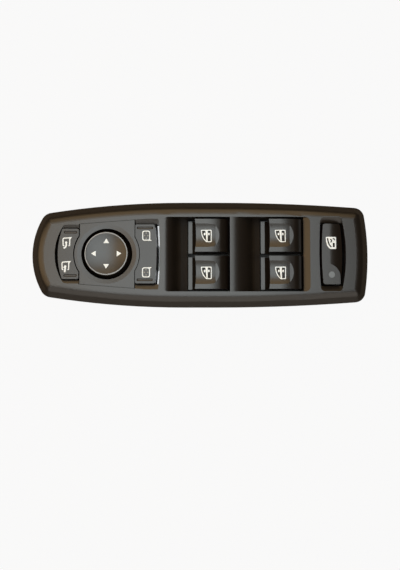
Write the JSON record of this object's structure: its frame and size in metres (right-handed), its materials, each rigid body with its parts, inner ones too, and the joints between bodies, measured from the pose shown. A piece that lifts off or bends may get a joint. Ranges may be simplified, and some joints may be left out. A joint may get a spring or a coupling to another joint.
{
  "type": "power window switch",
  "caption": "Door switch panel with window rockers, mirror joystick and mirror rockers, a child-lock rocker and a socket beneath.",
  "frame": {"origin": "centre of the outline on the plane of the bezel rim's underside, which sits on the door trim", "axes": "+X along the panel towards the rear of the car, +Y towards the right-hand windows, +Z out of the trim"},
  "size_m": [0.201, 0.0632, 0.0443],
  "materials": {
    "bezel_plastic": "fine satin grain, warm black",
    "mirror_plate_plastic": "fine satin grain",
    "knob_plastic": "smooth satin",
    "ring_metallised": "satin metallised",
    "rocker_plastic": "soft satin",
    "lens_clear": "smoky clear",
    "light_guide_clear": "clear, pale at its edges",
    "housing_plastic": "moulded black",
    "cover_plastic": "moulded black",
    "shroud_plastic": "moulded black",
    "screw_steel": "zinc plated",
    "spring_steel": "spring steel",
    "contact_tin": "tinned",
    "wiper_bronze": "bronze strip",
    "board_laminate": "green laminate",
    "slider_plastic": "natural acetal",
    "stem_plastic": "natural acetal",
    "mat_rubber": "silicone rubber",
    "lamp_body": "white with clear dome",
    "chip_body": "moulded black",
    "component_body": "mixed dark"
  },
  "bodies": {
    "panel": {"bezel": "bezel_plastic", "mirror_plate": "mirror_plate_plastic", "light_guide": "light_guide_clear", "switch_housing": "housing_plastic", "housing_screws": "screw_steel", "retaining_clips": "spring_steel", "circuit_board": "board_laminate", "contact_mat": "mat_rubber", "connector_shroud": "shroud_plastic", "connector_pins": "contact_tin", "rear_cover": "cover_plastic", "board_lamps": "lamp_body", "control_chip": "chip_body", "board_components": "component_body"},
    "gimbal": {"gimbal_ring": "stem_plastic"},
    "knob": {"mirror_knob": "knob_plastic", "knob_ring": "ring_metallised", "joystick_stem": "stem_plastic"},
    "front_right_window_rocker": {"front_right_window_rocker": "rocker_plastic"},
    "front_right_window_slider": {"front_right_window_slider": "slider_plastic", "front_right_window_wiper": "wiper_bronze"},
    "front_left_window_rocker": {"front_left_window_rocker": "rocker_plastic"},
    "front_left_window_slider": {"front_left_window_slider": "slider_plastic", "front_left_window_wiper": "wiper_bronze"},
    "rear_right_window_rocker": {"rear_right_window_rocker": "rocker_plastic"},
    "rear_right_window_slider": {"rear_right_window_slider": "slider_plastic", "rear_right_window_wiper": "wiper_bronze"},
    "rear_left_window_rocker": {"rear_left_window_rocker": "rocker_plastic"},
    "rear_left_window_slider": {"rear_left_window_slider": "slider_plastic", "rear_left_window_wiper": "wiper_bronze"},
    "mirror_fold_rocker": {"mirror_fold_rocker": "rocker_plastic"},
    "mirror_fold_slider": {"mirror_fold_slider": "slider_plastic", "mirror_fold_wiper": "wiper_bronze"},
    "mirror_select_rocker": {"mirror_select_rocker": "rocker_plastic"},
    "mirror_select_slider": {"mirror_select_slider": "slider_plastic", "mirror_select_wiper": "wiper_bronze"},
    "child_lock_rocker": {"child_lock_rocker": "rocker_plastic", "child_lock_lens": "lens_clear"},
    "child_lock_slider": {"child_lock_slider": "slider_plastic", "child_lock_wiper": "wiper_bronze"}
  },
  "joints": [
    {"name": "knob_up_down", "type": "hinge", "parent": "panel", "child": "gimbal", "pos_m": [-0.0552, 0, -0.003], "axis": [1, 0, 0], "range_deg": [-4, 4], "stiffness_Nm_per_rad": 0.3},
    {"name": "knob_left_right", "type": "hinge", "parent": "gimbal", "child": "knob", "pos_m": [-0.0552, 0, -0.003], "axis": [0, 1, 0], "range_deg": [-4, 4], "stiffness_Nm_per_rad": 0.3},
    {"name": "front_right_window_tilt", "type": "hinge", "parent": "panel", "child": "front_right_window_rocker", "pos_m": [0.01305, 0.01095, -0.001], "axis": [0, 1, 0], "range_deg": [-6, 6], "stiffness_Nm_per_rad": 0.15},
    {"name": "front_right_window_contact", "type": "slide", "parent": "panel", "child": "front_right_window_slider", "axis": [1, 0, 0], "range_m": [-0.0018, 0.0018]},
    {"name": "front_left_window_tilt", "type": "hinge", "parent": "panel", "child": "front_left_window_rocker", "pos_m": [0.01305, -0.01095, -0.001], "axis": [0, 1, 0], "range_deg": [-6, 6], "stiffness_Nm_per_rad": 0.15},
    {"name": "front_left_window_contact", "type": "slide", "parent": "panel", "child": "front_left_window_slider", "axis": [1, 0, 0], "range_m": [-0.0018, 0.0018]},
    {"name": "rear_right_window_tilt", "type": "hinge", "parent": "panel", "child": "rear_right_window_rocker", "pos_m": [0.05685, 0.01095, -0.001], "axis": [0, 1, 0], "range_deg": [-6, 6], "stiffness_Nm_per_rad": 0.15},
    {"name": "rear_right_window_contact", "type": "slide", "parent": "panel", "child": "rear_right_window_slider", "axis": [1, 0, 0], "range_m": [-0.0018, 0.0018]},
    {"name": "rear_left_window_tilt", "type": "hinge", "parent": "panel", "child": "rear_left_window_rocker", "pos_m": [0.05685, -0.01095, -0.001], "axis": [0, 1, 0], "range_deg": [-6, 6], "stiffness_Nm_per_rad": 0.15},
    {"name": "rear_left_window_contact", "type": "slide", "parent": "panel", "child": "rear_left_window_slider", "axis": [1, 0, 0], "range_m": [-0.0018, 0.0018]},
    {"name": "mirror_fold_tilt", "type": "hinge", "parent": "panel", "child": "mirror_fold_rocker", "pos_m": [-0.07945, 0, -0.001], "axis": [1, 0, 0], "range_deg": [-5, 5], "stiffness_Nm_per_rad": 0.15},
    {"name": "mirror_fold_contact", "type": "slide", "parent": "panel", "child": "mirror_fold_slider", "axis": [0, 1, 0], "range_m": [-0.0018, 0.0018]},
    {"name": "mirror_select_tilt", "type": "hinge", "parent": "panel", "child": "mirror_select_rocker", "pos_m": [-0.0306, 0, -0.001], "axis": [1, 0, 0], "range_deg": [-5, 5], "stiffness_Nm_per_rad": 0.15},
    {"name": "mirror_select_contact", "type": "slide", "parent": "panel", "child": "mirror_select_slider", "axis": [0, 1, 0], "range_m": [-0.0018, 0.0018]},
    {"name": "child_lock_tilt", "type": "hinge", "parent": "panel", "child": "child_lock_rocker", "pos_m": [0.0782, 0, -0.001], "axis": [1, 0, 0], "range_deg": [0, 6]},
    {"name": "child_lock_contact", "type": "slide", "parent": "panel", "child": "child_lock_slider", "axis": [0, 1, 0], "range_m": [0, 0.0018]}
  ],
  "couplings": [
    {"joint": "front_right_window_contact", "follows": "front_right_window_tilt", "m_per_rad": -0.016},
    {"joint": "front_left_window_contact", "follows": "front_left_window_tilt", "m_per_rad": -0.016},
    {"joint": "rear_right_window_contact", "follows": "rear_right_window_tilt", "m_per_rad": -0.016},
    {"joint": "rear_left_window_contact", "follows": "rear_left_window_tilt", "m_per_rad": -0.016},
    {"joint": "mirror_fold_contact", "follows": "mirror_fold_tilt", "m_per_rad": 0.016},
    {"joint": "mirror_select_contact", "follows": "mirror_select_tilt", "m_per_rad": 0.016},
    {"joint": "child_lock_contact", "follows": "child_lock_tilt", "m_per_rad": 0.016}
  ]
}
